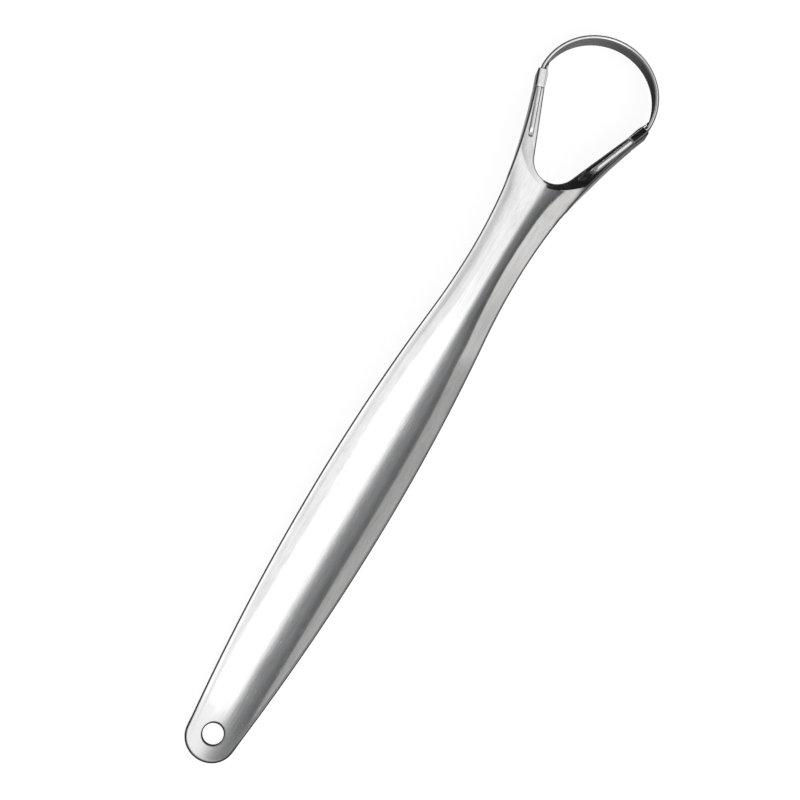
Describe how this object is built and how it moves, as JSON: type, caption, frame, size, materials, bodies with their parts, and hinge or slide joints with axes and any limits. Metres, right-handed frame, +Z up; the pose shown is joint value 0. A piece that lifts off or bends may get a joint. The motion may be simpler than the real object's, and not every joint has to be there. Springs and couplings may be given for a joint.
{
  "type": "tongue scraper",
  "caption": "Steel tongue scraper: a hollow pressed handle with a hanging hole, forked at the head to grip a thin band bent to a loop.",
  "frame": {"origin": "centre of the footprint at the surface that the scraper lies on, with the hollow side of its handle up", "axes": "+X from the tail with the hanging hole towards the scraping loop, +Y to the left of that, +Z up"},
  "size_m": [0.1572, 0.0242, 0.0121],
  "materials": {
    "handle_steel": "pressed stainless steel, polished to a soft satin shine with fine lines along the handle",
    "band_steel": "stainless steel strip, polished, with rounded bright edges"
  },
  "bodies": {
    "root": {"handle": "handle_steel", "scraper_band": "band_steel"}
  },
  "joints": []
}
